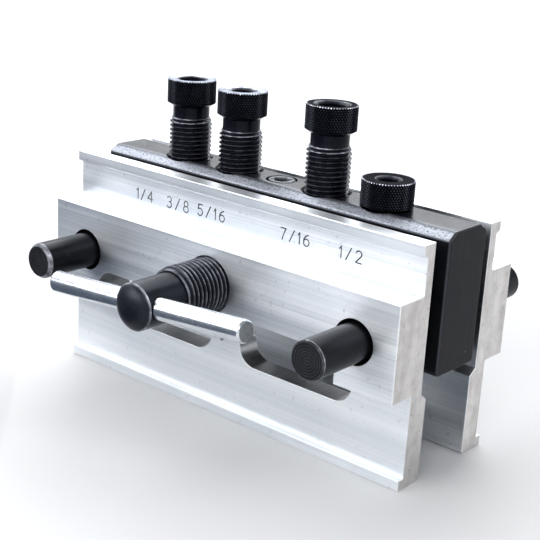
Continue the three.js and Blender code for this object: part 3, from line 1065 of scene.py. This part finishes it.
def hexagon(angle):
    """Radius of the socket's wall at an angle."""
    return SET_SOCKET_APOTHEM / math.cos(angle % (TURN / 6) - TURN / 12)


def set_screw():
    """A dog-point screw with a hex socket, flush with the block."""
    profile = [
        (SET_DOG_R - SET_DOG_EDGE, SET_LOW_Z, 0.0, 0.0),
        (SET_DOG_R, SET_LOW_Z + SET_DOG_EDGE, 0.0, 0.0),
        (SET_DOG_R, SET_SEAT_Z, 0.0, 0.0),
        (SET_R - SET_EDGE, SET_SEAT_Z, 0.0, 0.0),
        (SET_R, SET_SEAT_Z + SET_EDGE, 0.0, 0.0),
        (SET_R, BLOCK_H - SET_EDGE + 0.1, 0.0, 0.0),
        (SET_R - SET_EDGE, BLOCK_H, 0.3, 0.0),
        (SET_R - SET_EDGE - 0.1, BLOCK_H, 0.9, 1.0),
        (3.5, BLOCK_H, 0.75, 1.0),
        (3.05, BLOCK_H, 0.85, 1.0),
        (hexagon, BLOCK_H - 0.35, 0.8, 0.0),
        (hexagon, BLOCK_H - SET_SOCKET_DEPTH, 0.0, 0.0),
    ]
    t = Turning()
    t.tip(SET_LOW_Z)
    for r, h, wear, end in profile:
        t.ring(r, h, wear, end=end)
    t.tip(BLOCK_H - SET_SOCKET_DEPTH - 0.4)
    mesh = t.mesh("set_screw_detail", upright(0))
    shown("set_screw_detail", mesh, [set_black], "retaining_set_screw", "block")


set_screw()


def bushing(number, x, lift, bore_r, mouth_r, top_wear):
    seat = BLOCK_H + lift
    top = seat + BUSH_HEAD_H
    bottom = seat - BUSH_LENGTH
    thread_top = seat - BUSH_THREAD_DROP
    bright = top_wear > 1
    t = Turning()
    t.ring(bore_r + 0.3, bottom, 0.3)
    t.ring(BUSH_ROOT_R - 0.1, bottom, 0.3)

    def limit(h):
        return BUSH_ROOT_R + min(h - bottom, 0.55 * (thread_top - h))

    t.thread(bottom, thread_top, BUSH_PITCH, BUSH_THREAD_R, BUSH_ROOT_R, limit, crest_wear=0.42)
    t.ring(BUSH_NECK_R, thread_top + 0.1, 0.2)
    t.ring(BUSH_NECK_R, seat - BUSH_CONE_H)
    t.ring(BUSH_HEAD_R - 0.42, seat - 0.12, 0.1)
    angles, radii = t.knurl(seat, top - BUSH_RIM_H, BUSH_HEAD_R, KNURL_DEPTH, KNURL_COUNT, KNURL_ROWS,
                            KNURL_FLAT, KNURL_LEAN, KNURL_TIP_WEAR)
    proud = [r > BUSH_HEAD_R - 0.01 for r in radii]
    rim_wear = [1.15 if p else 0.1 for p in proud]
    lower_rim = [r - (0.02 if p else 0.05) for r, p in zip(radii, proud)]
    upper_rim = [r - (0.12 if p else 0.22) for r, p in zip(radii, proud)]
    t.ring(lower_rim, top - BUSH_RIM_H + 0.03, rim_wear, angles)
    t.ring(upper_rim, top, rim_wear, angles)
    t.ring(BUSH_HEAD_R - KNURL_DEPTH - 0.4, top, top_wear, angles, end=1.0)
    t.ring(mouth_r + 0.2, top, top_wear, end=1.0)
    t.ring(mouth_r, top - 0.08, 0.9 if bright else 0.6)
    t.ring(bore_r, top - (mouth_r - bore_r) - 0.08, 0.3 if bright else 0.1)
    t.ring(bore_r, bottom + 0.3)
    t.close()
    node = f"drill_bushing_{number}"
    name = f"{node}_detail"
    mesh = t.mesh(name, upright(x), sharp=28)
    obj = shown(name, mesh, [bushing_black, bushing_face], node, f"bushing_{number}")

    def finish(centre, normal):
        if not bright and normal.z > 0.99 and centre.z > top - 0.01:
            return bushing_face

    paint(obj, finish)


for number, sizes in enumerate(BUSHINGS, 1):
    bushing(number, *sizes)


# ---------------------------------------------------------------- stage

def staged(name, mesh, material):
    obj = bpy.data.objects.new(name, mesh)
    bpy.context.scene.collection.objects.link(obj)
    mesh.materials.append(material)
    return obj


def floor():
    """A pale disc that fades into the background towards its rim."""
    size, z, sides = 1700, FOOT_Z - 0.02, 96
    angles = [TURN * i / sides for i in range(sides)]
    places = [(size * math.cos(a), size * math.sin(a), z) for a in angles]
    f = Finish("floor", Roughness=0.6)
    f.set(Base_Color=f.mix(f.noise((3, 3, 3), 2, 0.5), (0.58, 0.58, 0.585), (0.6, 0.6, 0.605)))
    away = f.add("ShaderNodeVectorMath", {0: f.place}, operation="LENGTH").outputs["Value"]
    f.set(Alpha=f.ramp(f.math("DIVIDE", away, size * MM), (0.35, 1.0), (0.95, 0.0)))
    staged("floor", make_mesh("floor", places, [tuple(range(sides))]), f.material)


floor()


def flag():
    """A dark card in front, seen only in the reflections of the bright metal."""
    near, far = FOOT_Z + 0.5, FOOT_Z + 230
    places = [(-1300, -1300, far), (200, -1300, far), (-15, -105, near), (-75, -50, near), (-1300, 60, far)]
    material = Finish("flag", Roughness=0.8, Base_Color=(0.06, 0.075, 0.1, 1)).material
    obj = staged("flag", make_mesh("flag", places, [(0, 1, 2), (0, 2, 3), (0, 3, 4)]), material)
    obj.visible_camera = False
    obj.visible_diffuse = False
    obj.visible_shadow = False


flag()


def light(name, place, target, size, power, size_y=None):
    """place, target and sizes are in metres."""
    data = bpy.data.lights.new(name, "AREA")
    data.shape = "RECTANGLE"
    data.size = size
    data.size_y = size_y or size
    data.energy = power
    obj = bpy.data.objects.new(name, data)
    obj.location = place
    direction = Vector(target) - Vector(place)
    obj.rotation_euler = direction.to_track_quat("-Z", "Y").to_euler()
    bpy.context.scene.collection.objects.link(obj)


light("left", (-1.0, -0.05, 1.05), (0, 0, 0), 1.3, 10)
light("front", (-0.6, -1.35, 0.6), (0, 0, 0), 1.4, 14, 0.7)
light("backdrop", (-0.75, 1.2, 1.0), (-0.6, 0.9, 0), 1.5, 22)
light("side", (1.0, 0.3, 0.6), (0, 0, 0), 0.9, 3.4)
light("near", (0.25, -0.42, 0.36), (0.02, -0.06, 0), 0.25, 0.9)


def studio():
    """A glow from all round, bright at the horizon and dimmer overhead."""
    world = bpy.data.worlds.new("studio")
    world.use_nodes = True
    nodes, links = world.node_tree.nodes, world.node_tree.links
    direction = nodes.new("ShaderNodeSeparateXYZ")
    links.new(nodes.new("ShaderNodeTexCoord").outputs["Generated"], direction.inputs[0])
    glow = nodes.new("ShaderNodeValToRGB")
    glow.color_ramp.interpolation = "EASE"
    low, high = glow.color_ramp.elements
    low.color = (0.88, 0.9, 0.92, 1)
    high.color = (0.36, 0.376, 0.4, 1)
    high.position = 0.4
    links.new(direction.outputs["Z"], glow.inputs[0])
    links.new(glow.outputs["Color"], nodes["Background"].inputs["Color"])
    bpy.context.scene.world = world
    bpy.context.scene.view_settings.view_transform = "Standard"
    bpy.context.scene.view_settings.look = "Medium High Contrast"


studio()


def camera():
    data = bpy.data.cameras.new("camera")
    data.lens = CAMERA_LENS
    data.sensor_width = CAMERA_SENSOR
    data.clip_start = 0.01
    data.clip_end = 20
    obj = bpy.data.objects.new("camera", data)
    right, up, back = (Vector(v).normalized() for v in (CAMERA_RIGHT, CAMERA_UP, CAMERA_BACK))
    turn = Matrix((right, up, back)).transposed().to_4x4()
    obj.matrix_world = Matrix.Translation(Vector(CAMERA_PLACE) * MM) @ turn
    bpy.context.scene.collection.objects.link(obj)
    bpy.context.scene.camera = obj


camera()
